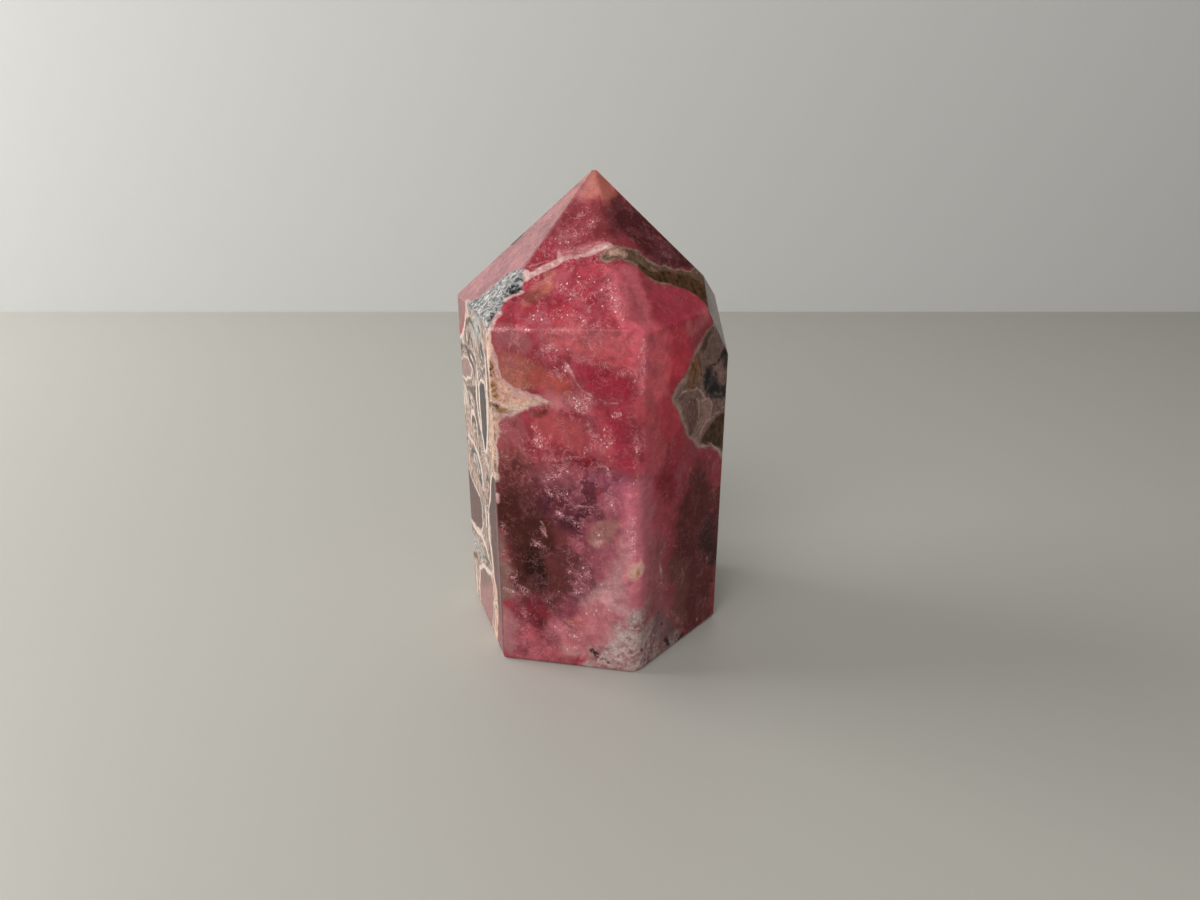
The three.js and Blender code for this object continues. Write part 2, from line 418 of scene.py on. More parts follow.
# The rock it grew in: cream and ash on the left, a grey patch and an olive band on the right.
left_rock = together(
    patch(
        "left", (-13, 51), (-10, 52.2), (-8, 53.5), (-7, 55), (-5.3, 57.3), (-4.6, 61), (13, 61),
        (13, 34.6), (10.5, 34.7), (8.6, 33.2), (7.6, 30.2), (6, 27), (5.4, 24.5), (6.3, 22), (5.6, 20),
        (7, 17.2), (7.2, 14.5), (8.6, 12), (9.1, 9.2), (8.5, 6), (7.5, 3), (6.6, -1), (-13, -1),
        depth=0.4,
    ),
    patch(
        "far_left", (13, 51), (10, 50), (8, 46), (5, 42), (3, 36), (1, 30), (-2, 24), (-6, 20),
        (-10, 17.5), (-13, 16.5), (-13, 11), (-9, 9), (-4, 7.5), (1, 5), (6, 3), (9, -1), (13, -1),
    ),
    patch(
        "back", (13, 17.6), (11, 16.8), (9.4, 15.2), (7.6, 14.8), (5.4, 14), (7.6, 13.3), (9.6, 12.8),
        (11, 11.2), (13, 10.4),
    ),
)
notch = patch(
    "front", (-13, 60.5), (-11.6, 60), (-11.6, 57.5), (-11.1, 55.5), (-10.5, 53.4), (-9.8, 51.6),
    (-8.8, 50.5), (-6.4, 49.7), (-5.8, 49.2), (-3.6, 48.7), (-1.2, 48.2), (-2.9, 47.7), (-3.6, 48),
    (-5.6, 47.4), (-6.2, 46.6), (-8.4, 45.6), (-10.4, 45), (-10.8, 43.8), (-10.3, 42.8), (-11, 41),
    (-10.8, 39.6), (-11.2, 37.2), (-11.3, 34.2), (-13, 34.2), depth=1,
)
right_patch = patch(
    "right", (7.6, 58), (5.2, 56.6), (3, 55), (1.4, 53.4), (0.2, 51.4), (-0.8, 50.1), (-2.6, 49.1),
    (-4, 47.9), (-3.6, 46.4), (-2.5, 45.4), (-1.5, 43.8), (-0.4, 41.9), (0.4, 40.4), (1.8, 38.8),
    (3, 37.6), (4.1, 36.7), (6, 36.3), (8, 35.5), (9.6, 34.2), (11.4, 32), (12.3, 35), (13.6, 38),
    (13.1, 42), (14.6, 45.5), (13.5, 50), (14.4, 54), (13.3, 57), (14.4, 61), (8, 61), depth=8,
)
band = patch(
    "right_tip", (-8.2, 14.6), (-6.5, 15.2), (-5, 14.8), (-3.4, 14.1), (-2.4, 13.7), (-1.4, 12.9),
    (-0.8, 11.6), (0, 10.6), (1, 10), (2.2, 9.7), (3.1, 8.8), (5, 8.2), (6.2, 7.6), (7, 7.5),
    (8.9, 8.2), (12, 6), (10, -1), (6, 0), (5.2, 2.6), (4.6, 3.6), (3.5, 4.7), (2, 5.6), (0.5, 6.2),
    (-1, 6.7), (-2, 7.2), (-2.8, 8.4), (-3.2, 10), (-4.5, 11.4), (-6, 12.2), (-7.8, 13),
)
speckled = together(
    patch(
        "left_tip", (-3.8, -0.5), (-2, 0.8), (0, 1.9), (1.3, 4), (2.6, 6.3), (4.2, 8.4), (6.5, 9.5),
        (8.3, 10.6), (12, 9), (13, -0.5), depth=0.5,
    ),
    patch(
        "front_tip", (-13, -0.5), (-9, 10), (-7, 10.4), (-6.6, 9.2), (-7.3, 8), (-7.4, 6.6),
        (-8.8, 5.6), (-9.8, 3.4), (-10.8, 1.8), (-11.2, -0.5), depth=1,
    ),
)
corner_grey = together(
    patch("front", (2.8, -1), (4.4, 4), (6.6, 7), (9, 9.5), (10.4, 12), (13, 13), (13, -1), depth=3),
    patch(
        "right", (-13, 12), (-10, 10.5), (-7.4, 8.6), (-5.6, 5), (-4, 3), (0, 2), (1, -1), (-13, -1),
        depth=3,
    ),
)
rock = np.tile(linear(152, 127, 117), (len(skin), 1))
stain(rock, (164, 130, 121), 0.3, right_patch, 1)
stain(rock, (128, 98, 90), 0.6, right_patch + 1.2, 0.9)
stain(rock, (108, 80, 62), 0.3, band, 1)
ROCK_TINTS = (
    # left face
    ((202, 164, 144), 0.8, "left", (10.6, 59, 0.8), (11, 50, 0.8), (10.2, 44, 1.8), (10.6, 37, 1.2)),
    ((196, 180, 166), 1.0, "left", (-9.4, 52, 0.5), (-6, 56, 0.5), (-4, 58.6, 0.5)),
    ((158, 160, 158), 1.2, "left", (0.6, 56, 1.6), (4.2, 57.8, 1.6)),
    ((92, 88, 82), 0.8, "left", (6.4, 54.6, 0.8), (6, 51.4, 0.9)),
    ((208, 192, 178), 1.0, "left", (-10.8, 42, 1.8), (-8.4, 41.2, 1.2)),
    ((202, 180, 166), 0.6, "left", (-4.4, 42.6, 0.6), (-3.2, 42.8, 0.4)),
    ((178, 146, 130), 1.0, "left", (-9, 37.4, 1.4), (-3, 36, 1)),
    ((150, 104, 62), 0.7, "left", (-11, 38, 0.4), (-9.4, 38.6, 0.5)),
    ((150, 104, 62), 0.4, "left", (9.2, 37.8, 0.3)),
    ((170, 120, 76), 0.5, "left", (11.4, 50, 0.3), (11.3, 48.8, 0.4)),
    (
        (116, 110, 106), 0.8, "left", (-7, 31.4, 0.3), (-5.8, 32.8, 0.7), (-3.4, 33, 0.9),
        (-1, 31.2, 0.9), (0.2, 29, 0.7),
    ),
    ((172, 138, 124), 1.0, "left", (-10, 28.8, 1.4), (-5, 27.4, 1.4), (-1, 27, 0.6)),
    ((138, 134, 130), 1.0, "left", (0.8, 24, 1), (1.8, 21.4, 0.9)),
    ((158, 156, 152), 1.0, "left", (-11, 12, 1.2), (-6, 13, 1.2), (-1.8, 13.4, 0.6)),
    ((176, 144, 120), 1.2, "left", (-10.6, 6, 2.2), (-8.6, 1, 1.8)),
    # far left face
    ((208, 190, 176), 1.4, "far_left", (9.4, 46, 1.4), (11, 40, 1)),
    ((202, 164, 144), 1.2, "far_left", (10.4, 49.6, 0.8), (6.4, 41, 1), (4, 35, 0.8)),
    ((104, 98, 94), 1.0, "far_left", (3, 29, 0.8), (7, 26, 1), (4.4, 22.6, 0.8)),
    ((166, 134, 118), 1.6, "far_left", (-7, 13.4, 1.2), (0, 12.6, 1.4), (6, 8, 1.4)),
    ((228, 182, 158), 0.6, "left", (6.4, 13, 0.8), (7.6, 10.6, 1.2), (7, 5, 1.1), (5.4, 0, 1.2)),
    # notch on the front face
    (
        (220, 168, 150), 1.0, "front", (-11.6, 59, 0.6), (-11.3, 53, 0.8), (-9.6, 48.6, 1.4),
        (-6, 48.2, 0.9), (-3, 48.2, 0.4),
    ),
    ((204, 160, 138), 0.8, "front", (-11.6, 44, 0.6), (-11.8, 36, 0.6)),
    ((218, 186, 168), 0.4, "front", (-9.6, 46.8, 0.5), (-6.4, 47.2, 0.4), (-4, 48.2, 0.2)),
    ((150, 100, 54), 0.3, "front", (-11.3, 50.2, 0.4), (-11, 48.8, 0.4)),
    ((150, 100, 60), 0.3, "front", (-11.3, 53.8, 0.2), (-11.2, 52.2, 0.2)),
    ((150, 110, 70), 0.4, "front", (-10.7, 46.2, 0.2), (-9.4, 46.5, 0.1)),
    # patch on the right face
    (
        (134, 88, 56), 0.4, "right", (0.9, 51, 0.9), (2.2, 51.6, 1.3), (3.4, 50.6, 0.5), (1.8, 49.2, 1.1),
        (0.6, 48.8, 0.5),
    ),
    ((76, 48, 30), 0.4, "right", (3.9, 53.8, 0.4), (4.8, 55.2, 0.6), (6.2, 57, 0.6)),
    ((112, 74, 70), 0.5, "right", (1.4, 45, 1.1), (1.9, 42, 1.2), (1.6, 40.8, 0.7)),
    ((158, 122, 112), 0.5, "right", (4.6, 44.6, 0.8), (5.8, 43.4, 1.1), (5, 41.2, 1), (3.6, 39.4, 0.4)),
    ((122, 92, 86), 0.9, "right", (6, 52.6, 1), (8.6, 54.6, 1), (10.6, 57, 0.8)),
    ((134, 100, 96), 0.6, "right", (9, 49.4, 0.9), (8.2, 49, 0.6)),
    ((50, 44, 46), 0.7, "right", (5.8, 49.6, 0.9), (5.6, 47.6, 0.7), (8, 46.2, 1.3), (10.6, 44.6, 0.8)),
    ((44, 36, 36), 0.5, "right", (10.6, 51.6, 0.8), (11, 49.6, 0.6)),
    # band over the right tip face
    ((206, 162, 146), 0.7, "right_tip", (-8, 14.2, 0.5), (-6.4, 14, 0.6), (-5, 13.4, 0.3)),
)
for tint, fade, face, *stops in ROCK_TINTS:
    stain(rock, tint, fade, vein(face, *stops))

# Eyes in the rock: pink, grey and smoky cores with thin rings round them.
EYES = (
    ((150, 112, 110), patch(
        "left", (-13, 46.6), (-9, 48.4), (-5.4, 49.4), (-2.7, 48.3), (-4.6, 46.9), (-8, 45.6),
        (-13, 45), depth=6,
    )),
    ((32, 12, 25), patch(
        "left", (2.9, 47), (4.6, 48.6), (6.9, 48.8), (7.4, 46), (7.3, 42), (6.4, 39), (5, 36.9),
        (4.2, 37.1), (3.4, 39.4), (3.2, 43.2), depth=6,
    )),
    ((84, 42, 36), together(
        patch(
            "left", (-13, 26.6), (-10, 26.2), (-6, 25.1), (-2, 24.8), (-0.9, 23.8), (-1, 21.8),
            (-0.6, 20.2), (-1.8, 18.8), (-6, 17.4), (-13, 16.2), depth=0.6,
        ),
        patch(
            "far_left", (13, 26.8), (11, 26.2), (9.2, 24.4), (7.4, 22.9), (8.2, 20.8), (9.8, 18.4),
            (11.4, 16.8), (13, 16), depth=1,
        ),
    )),
    ((156, 102, 102), patch(
        "left", (-6.5, 4), (-5.3, 8), (-2, 10.4), (1, 11.4), (3.8, 12.1), (5.6, 11.4), (5.2, 8),
        (4.2, 4.6), (2.8, 1), (2, -1), (-6.6, -1), depth=6,
    )),
    ((150, 142, 138), vein("left", (-4.6, 31.6, 0.3), (-3, 31.4, 0.7), (-1.6, 30.2, 0.4))),
    ((132, 92, 78), vein("left", (-3.9, 41.2, 0.25), (-3, 41.4, 0.2))),
    ((150, 92, 94), vein("far_left", (6, 31.4, 0.5), (7.6, 28.6, 1.5), (9.6, 25.6, 0.8))),
    ((110, 92, 88), vein("far_left", (10, 43, 0.4), (10.6, 39, 1.2), (9.6, 35.8, 0.5))),
    ((168, 110, 112), vein("far_left", (1.6, 17.6, 0.5), (4.4, 15.8, 1.4), (8.4, 14.8, 0.8))),
    ((64, 48, 44), vein("far_left", (-6.4, 14.4, 0.4), (-2.4, 13.4, 0.9), (0.8, 11, 0.4))),
)
eyes = together(*[mark for _, mark in EYES])
for tint, mark in EYES:
    stain(rock, tint, 0.25, mark, 1)
lower_eye_shade = vein("left", (-4, 7, 0.8), (-0.6, 9.8, 0.8), (2.4, 11, 0.4))
upper_eye_shade = vein("left", (4.6, 47, 0.3), (5.4, 44, 0.2), (5, 40, 0.3))
stain(rock, (112, 80, 74), 1.8, np.maximum(eyes, lower_eye_shade))
stain(rock, (74, 66, 66), 0.5, np.maximum(eyes, upper_eye_shade), 0.7)

# Thin marks drawn over both.
umber = together(
    patch(
        "right", (4.4, 37.6), (6, 39), (7.7, 40.3), (9.5, 40.8), (13, 41), (11.8, 33.6), (9.6, 35),
        (6.5, 36.6), depth=4,
    ),
    drawn(
        (
            "right_tip", (-3.2, 10.6, 0.5), (-2.2, 8.9, 0.7), (-1, 8.1, 1), (1, 7.6, 1.2), (3, 6.5, 1.3),
            (5, 5.3, 1.6), (6.6, 3.4, 1.7), (7.4, 1, 1.8),
        ),
        ("far_right", (-11, 58.6, 1.2), (-9.8, 56, 0.6), (-10, 53.6, 0.2)),
        ("right", (1, 52.4, 0.05), (2.4, 50.6, 0.15), (1.6, 49, 0.05)),
        ("right", (3.2, 52.6, 0.1), (3.7, 51, 0.15), (3.9, 49.6, 0.05)),
        ("right", (0.6, 48.6, 0.05), (2, 47.9, 0.12), (3.2, 48.4, 0.05)),
        ("left", (-6.6, 53, 0.25), (-5, 56, 0.4), (-2, 57.3, 0.45), (0.8, 56.6, 0.3)),
        ("left", (-4.8, 52.4, 0.3), (-2.8, 54.4, 0.45)),
        ("left", (-8, 43.6, 0.3), (-4, 44.4, 0.4), (-1, 45.8, 0.3)),
        ("left", (-5.6, 37.8, 0.3), (-4.4, 39.3, 0.6), (-2.4, 39.6, 0.5), (-1.8, 38.2, 0.3)),
        ("left", (-1.6, 36.8, 0.5), (-0.8, 36.6, 0.4)),
        ("left", (-12, 8.6, 0.4), (-9, 9.5, 0.45), (-7, 10.3, 0.25)),
        ("left", (7.2, 32.6, 0.25), (6.6, 30, 0.4), (5.2, 27, 0.4), (4.8, 25.6, 0.3)),
        ("left", (3.2, 16.6, 0.25), (4.4, 17.6, 0.3), (4.2, 19, 0.2)),
    ),
)
pale = drawn(
    (
        "front", (-11.5, 59.4, 0.15), (-11.4, 57, 0.2), (-10.9, 55, 0.25), (-10.4, 53, 0.2),
        (-9.6, 51.4, 0.15), (-8.4, 50.3, 0.2),
    ),
    ("front", (-8.4, 50.2, 0.2), (-6.2, 49.4, 0.25), (-4.4, 48.8, 0.25), (-2.4, 48.1, 0.2)),
    ("front", (-10.6, 49.6, 0.05), (-8, 49.2, 0.12), (-5.4, 48.4, 0.05)),
    (
        "front", (-11.2, 45.4, 0.3), (-9.6, 45.6, 0.2), (-7.8, 46.2, 0.25), (-6.2, 47, 0.2),
        (-4.4, 47.9, 0.15),
    ),
    ("front", (-11.3, 48.4, 0.1), (-10.4, 47.8, 0.12), (-10.2, 46.9, 0.05)),
    (
        "front", (-10.8, 43.9, 0.2), (-10.6, 42.6, 0.15), (-11.2, 41, 0.2), (-11, 39.4, 0.15),
        (-11.4, 36, 0.2),
    ),
    (
        "front_tip", (-7.4, 10.2, 0.5), (-6.2, 9.8, 0.5), (-4.4, 10.4, 0.6), (-2.6, 11.6, 0.5),
        (-1, 12.4, 0.3),
    ),
    ("front_tip", (-1, 12.4, 0.3), (0.8, 12.8, 0.3), (2.4, 13.3, 0.4), (3.8, 14, 0.55), (5.4, 14.6, 0.5)),
    ("front_tip", (-2.3, 12, 0.3), (-2.1, 13.6, 0.12)),
    ("right_tip", (-8.5, 14.8, 0.4), (-7, 14.9, 0.45), (-5.6, 14.7, 0.3)),
    ("front_tip", (-7.2, 10.3, 0.6), (-6.7, 9.3, 0.5), (-7, 8.5, 0.3)),
    ("front_tip", (-7.3, 6.4, 0.3), (-8.6, 5.9, 0.3), (-9.5, 5, 0.3)),
    ("front_tip", (-10, 3, 0.4), (-10.8, 1.8, 0.3), (-11.2, 0, 0.4)),
    ("front", (-11.4, 30.5, 0.25), (-11.3, 31.8, 0.3)),
    (
        "right", (-2.8, 46.8, 0.1), (-1, 47.9, 0.15), (1, 47.6, 0.15), (3, 47.6, 0.1), (4.4, 46.4, 0.15),
        (5.4, 45.2, 0.1),
    ),
    (
        "right", (0.2, 45.4, 0.05), (1.8, 46.2, 0.1), (3.3, 45.4, 0.1), (3.7, 43, 0.1), (3.2, 40.8, 0.1),
        (2.2, 39.6, 0.05),
    ),
    (
        "right", (4.2, 45.2, 0.1), (6.2, 45, 0.1), (7.5, 43.4, 0.15), (7, 41.4, 0.15), (5.4, 40.2, 0.15),
        (4.2, 38.6, 0.15),
    ),
    ("right", (7, 41, 0.1), (9, 41.6, 0.1), (11.6, 42, 0.1)),
    (
        "right", (4.2, 37, 0.1), (5.6, 36.6, 0.15), (6.8, 36.9, 0.1), (8, 36, 0.1), (9.6, 34.7, 0.15),
        (11.8, 32.6, 0.1),
    ),
    (
        "left", (-13, 15.5, 0.4), (-8, 15.8, 0.5), (-5, 16.6, 0.5), (-2, 17.4, 0.6), (1, 16.8, 0.5),
        (3, 15.6, 0.4),
    ),
    (
        "left", (9.6, 34.7, 0.3), (8.3, 33, 0.4), (7.3, 30, 0.4), (5.8, 27.4, 0.3), (4.6, 24.6, 0.45),
        (4.3, 21.6, 0.5),
    ),
    ("left", (4.3, 21.6, 0.5), (4.9, 19.6, 0.6), (6, 17.6, 0.5), (6.3, 14.6, 0.5)),
    ("left", (2.4, 25.6, 0.3), (2.8, 23.6, 0.35), (2.6, 21.4, 0.3)),
    ("left", (0.6, 48.6, 0.3), (0.5, 45, 0.45), (1, 42, 0.4), (2.2, 39.6, 0.4)),
    ("left", (1.6, 50.2, 0.4), (2.2, 47.6, 0.4), (2.3, 43.6, 0.35), (3, 39.6, 0.4), (4.2, 36.6, 0.4)),
    ("left", (8.6, 54.4, 0.3), (8.6, 49, 0.4), (8.2, 44, 0.45), (7.4, 39.6, 0.4), (6, 36.6, 0.45)),
    ("left", (10.7, 56, 0.35), (11, 52, 0.3)),
    (
        "left", (-9.4, 34, 0.3), (-5, 34.4, 0.4), (-1.4, 33.8, 0.4), (0.6, 32, 0.4), (1.6, 29.8, 0.4),
        (2, 28, 0.3),
    ),
    ("left", (-6.4, 37.4, 0.25), (-5, 40, 0.4), (-2.4, 40.4, 0.4), (-1, 39, 0.3), (-0.6, 36, 0.25)),
    ("left", (-2.6, 50.7, 0.35), (-1.4, 50.8, 0.35)),
    ("left", (-7.3, 3, 0.35), (-6, 8.4, 0.4), (-2.2, 11.2, 0.4), (2, 12.5, 0.4), (5.4, 13.2, 0.5)),
    ("left", (-10, 8, 0.3), (-9.6, 4, 0.4), (-10, 1, 0.4)),
    ("left", (-12, 51.3, 0.3), (-9, 52.8, 0.35), (-7, 54.8, 0.35), (-5.6, 57, 0.25)),
    ("far_right_tip", (-9, 5, 0.5), (-4, 8, 0.35), (1, 8.4, 0.3), (6, 11, 0.25), (8, 12, 0.15)),
    (
        "back", (-12, 34, 0.05), (-9, 35.6, 0.35), (-6, 35.8, 0.1), (-2, 34, 0.35), (0.6, 34.6, 0.1),
        (3, 37, 0.4),
    ),
    ("back", (3, 37, 0.4), (5.4, 37.6, 0.1), (9, 39.8, 0.3), (12, 40, 0.1)),
    ("back", (3, 37, 0.2), (4.2, 33.6, 0.25), (3.8, 29, 0.02)),
    (
        "far_left", (-12, 40, 0.1), (-9, 42, 0.4), (-6, 42.8, 0.12), (-2, 45.4, 0.35), (0.6, 48, 0.1),
        (4, 49, 0.4), (6, 50, 0.3),
    ),
    ("far_left", (-2, 45.4, 0.2), (-3, 49, 0.15), (-1.6, 53, 0.02)),
)
black = drawn(
    ("front", (-11.2, 46.6, 0.35), (-10.7, 47.2, 0.25)),
    ("front", (-11.7, 54, 0.15), (-11.4, 52.4, 0.1)),
    ("front_tip", (-8, 7.4, 0.3), (-8.4, 6.6, 0.45), (-9, 6.2, 0.25)),
    ("right", (5.6, 50.2, 0.3), (5.8, 48.8, 0.7), (5.2, 47, 0.3)),
    ("right", (6.6, 46.2, 0.5), (7.8, 46.6, 0.8), (9.3, 45.8, 0.5)),
    ("right", (10.6, 46, 0.4), (11, 44, 0.3), (11.5, 47.5, 0.3)),
    ("right", (6, 50.3, 0.1), (8.5, 50.6, 0.15), (10.2, 51.8, 0.4), (11.2, 52, 0.5)),
    ("right", (7.6, 49, 0.2), (8.2, 48, 0.3)),
    ("right", (8.6, 43.4, 0.15)),
    ("right", (9.4, 42.6, 0.2)),
    ("front", (3.9, 3.7, 0.4), (4.5, 3.3, 0.45)),
    ("front", (4.9, 2.5, 0.4)),
    ("front", (5.4, 3.2, 0.3)),
    ("front", (5.9, 2.1, 0.3)),
    ("front", (6.6, 1.5, 0.2)),
    ("front", (8.5, 7.8, 0.15)),
    ("front", (9.7, 7.2, 0.15)),
    ("right", (-11.6, 9.4, 0.2)),
    ("right", (-4.7, 6.7, 0.25)),
    ("right", (-6.2, 3.9, 0.1)),
    ("right", (-8.4, 2.4, 0.1)),
    ("front", (11.5, 9.5, 0.25)),
    ("front", (12, 5.3, 0.25)),
    ("front", (11, 12.2, 0.12)),
    ("right", (-10.2, 4.4, 0.25)),
    ("right_tip", (-0.8, 11.9, 0.2)),
    ("left_tip", (-5.8, 13, 0.9), (-5.4, 14.2, 0.9)),
    ("right", (-6, 9.4, 0.2)),
    ("right", (-3.6, 2.8, 0.4), (-2.4, 1.2, 0.55)),
    ("right", (0.8, 0.6, 0.4), (2, 1.1, 0.35)),
    ("left", (-12.4, 49.4, 0.6), (-10.6, 50.2, 0.5), (-8.6, 51, 0.25)),
    ("left", (-8.4, 51.5, 0.25), (-5, 51, 0.4), (-2.4, 51.7, 0.3), (0, 51.2, 0.4), (0.8, 50.2, 0.3)),
    ("left", (-5, 50.5, 0.4), (-2.8, 49.8, 0.5), (-0.7, 49.2, 0.45), (-0.2, 47.8, 0.3)),
    ("left", (-3.6, 44.2, 0.45), (-2.4, 43.7, 0.6), (-1.2, 44.6, 0.5), (-0.9, 46.2, 0.4)),
    ("left", (-1, 44, 0.5), (-0.8, 42.4, 0.5), (0, 40.4, 0.5), (1, 38.4, 0.5)),
    ("left", (1.4, 47, 0.25), (1.4, 44.6, 0.4), (1.8, 42.4, 0.3)),
    ("left", (-1.8, 54, 0.3), (-1, 53.2, 0.45)),
    ("left", (-6.6, 42.6, 0.35), (-6.2, 41.6, 0.55)),
    ("left", (-5.2, 51.9, 0.2), (-3.6, 53.4, 0.3)),
    ("left", (4.8, 57.6, 0.45), (5.4, 57.4, 0.45)),
    ("left", (5.4, 54.6, 0.45), (7, 53.8, 0.4), (6.6, 52.2, 0.3)),
    ("left", (-7, 31.2, 0.3), (-5.6, 32.6, 0.35), (-3.4, 32.9, 0.3)),
    ("left", (-1.6, 29.8, 0.45), (-0.2, 28.8, 0.5), (0, 30.2, 0.35)),
    ("left", (-4.8, 30.4, 0.2), (-3.4, 30.2, 0.3)),
    ("left", (4.6, 31.2, 0.3), (5.8, 32.2, 0.5)),
    ("left", (5, 25.4, 0.3), (6.2, 26.6, 0.35)),
    ("left", (0.8, 24.4, 0.25), (1, 22.6, 0.35)),
    ("left", (3.4, 24.6, 0.2), (3.4, 22.4, 0.3)),
    ("left", (9.3, 55.4, 0.3), (9.8, 52, 0.35), (9.9, 49, 0.4), (10.1, 46.4, 0.45)),
    ("left", (10.8, 46.8, 0.3), (11.8, 47.2, 0.45)),
    ("left", (-12, 14.6, 0.25), (-8, 15, 0.25), (-5, 15.6, 0.2)),
    ("left", (-2, 13, 0.25), (0.6, 14.2, 0.35), (4, 14.8, 0.3)),
    ("left", (0.4, 12.5, 0.2), (2.6, 13.8, 0.3)),
    ("left", (5, 17.4, 0.2), (5.4, 15.4, 0.3)),
    ("far_left", (10, 34, 0.3), (9, 29, 0.2)),
    ("far_left", (2, 10, 0.3), (5, 8.6, 0.25)),
)
# Pale wisps along healed cracks, with a few painted glints among them.
wisps_and_glints = drawn(
    (
        "front", (0.2, 54.5, 0.25), (0.7, 53.6, 0.18), (1.4, 52.2, 0.08), (2.6, 50.6, 0.04),
        (3.8, 49.7, 0.18), (4.3, 49.4, 0.05),
    ),
    ("front", (4.6, 49.4, 0.05), (6.6, 48.8, 0.06), (9.4, 49.2, 0.03)),
    ("front", (0.4, 30, 0.1), (2, 30.9, 0.12), (4.4, 31.2, 0.08)),
    ("front", (-3.4, 36, 0.08), (0, 37.4, 0.06), (1, 39.5, 0.06), (3, 39.9, 0.05)),
    ("right", (-7.4, 52, 0.04), (-6.6, 49, 0.06), (-6.8, 46.8, 0.04)),
    ("front_tip", (-2.0, 13.3, 0.08), (0, 13.5, 0.1), (2, 14.4, 0.1), (4, 15.1, 0.12), (5.2, 15.2, 0.2)),
    ("front_tip", (-6.7, 11.3, 0.08), (-5, 11.6, 0.06), (-3.2, 11.8, 0.08)),
    ("right", (-5.7, 19.2, 0.06), (-5.6, 17.8, 0.25), (-5, 16.4, 0.08)),
    ("right", (-3.6, 20.2, 0.06), (-2, 20.8, 0.08), (-0.6, 20.2, 0.05)),
    ("right", (0.6, 15.4, 0.1), (1.2, 13.6, 0.06), (0.6, 12, 0.08)),
    ("right", (2.4, 13.8, 0.05), (4, 14.2, 0.08)),
    ("front", (-6, 24.4, 0.05), (-4.6, 23.4, 0.12), (-4, 22.8, 0.05)),
    ("front", (-4.4, 27.6, 0.05), (-3.6, 26.2, 0.12)),
    # painted glints: small whitish spots on the right face
    ("right", (-3, 7.6, 0.3)),
    ("right", (6, 2, 0.35)),
    ("right", (8.5, 13.8, 0.25)),
    ("right", (-5.6, 20.9, 0.2)),
    ("right", (-5.3, 15, 0.25)),
)
# A small pale ring with an ochre middle, low on the worn corner.
stain(crystal, (226, 178, 162), 1.2, vein("front", (11.7, 20, 1.1)))
stain(crystal, (160, 106, 50), 0.4, vein("front", (11.8, 19.2, 0.4), (11.9, 20, 0.45)), 1)
